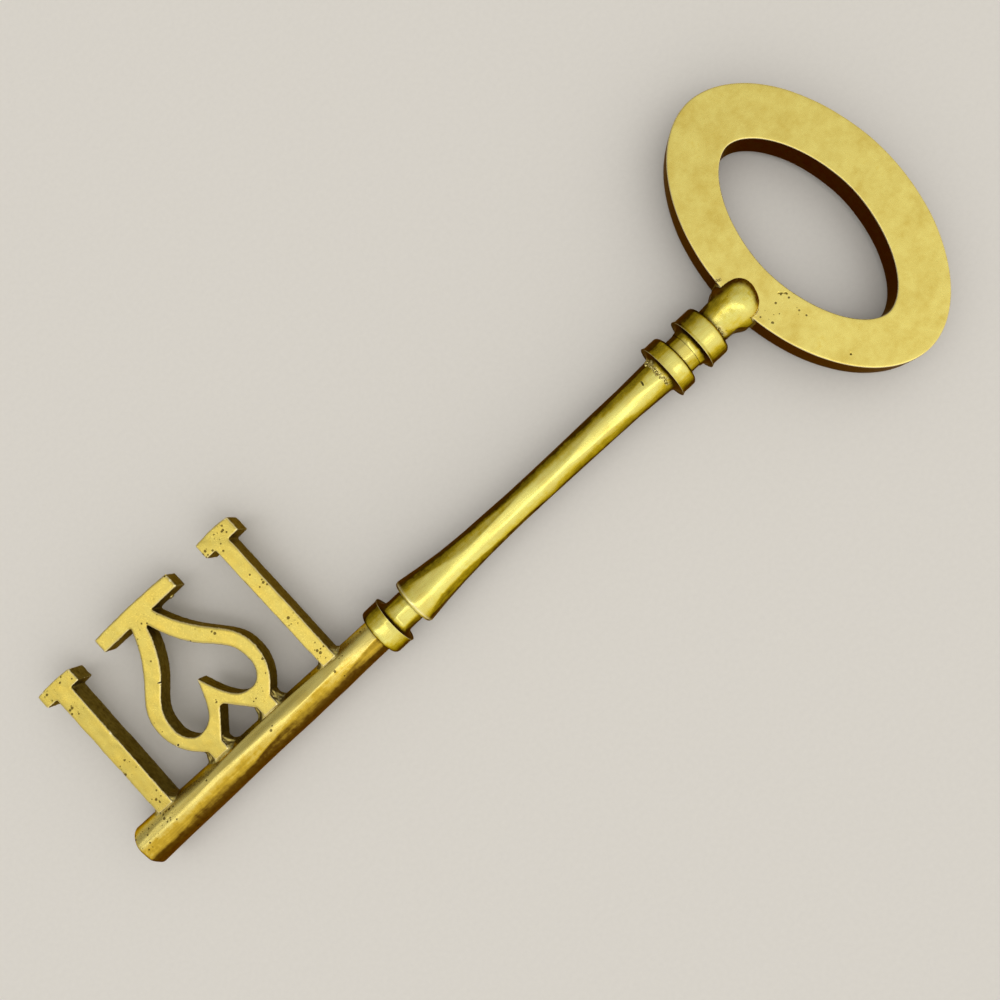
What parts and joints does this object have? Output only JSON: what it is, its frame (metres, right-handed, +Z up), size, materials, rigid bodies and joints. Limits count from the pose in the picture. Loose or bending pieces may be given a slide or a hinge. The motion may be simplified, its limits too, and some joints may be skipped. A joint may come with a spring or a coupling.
{
  "type": "decorative wall key",
  "caption": "Oversized brass ornamental key with an oval ring bow, turned collars, a hollow-tapered shank and pierced heart-shaped wards, hung flat on a wall.",
  "frame": {"origin": "middle of the key's box in X and Y, on the surface that it lies on", "axes": "+X along the shank from the bit's tip to the bow, +Y from the shank towards the tops of the wards, +Z up out of the flat side of the bow"},
  "size_m": [0.33, 0.1152, 0.0204],
  "materials": {
    "filed_brass": "satin, filed flat",
    "turned_brass": "turned and polished, slightly aged",
    "ward_brass": "cast and filed, with pits",
    "braze": "brazing metal, lumpy",
    "stud_steel": "threaded rod"
  },
  "bodies": {
    "root": {"bow": "filed_brass", "bow_stem": "turned_brass", "bow_braze": "braze", "bow_collar": "turned_brass", "collar_spacer": "turned_brass", "shank_collar": "turned_brass", "shank": "turned_brass", "shank_neck": "turned_brass", "bit_collar": "turned_brass", "bit_barrel": "turned_brass", "bow_side_post": "ward_brass", "bow_post_braze": "braze", "ward_heart": "ward_brass", "heart_braze": "braze", "tip_post": "ward_brass", "tip_post_braze": "braze", "stem_stud": "stud_steel", "neck_stud": "stud_steel"}
  },
  "joints": []
}
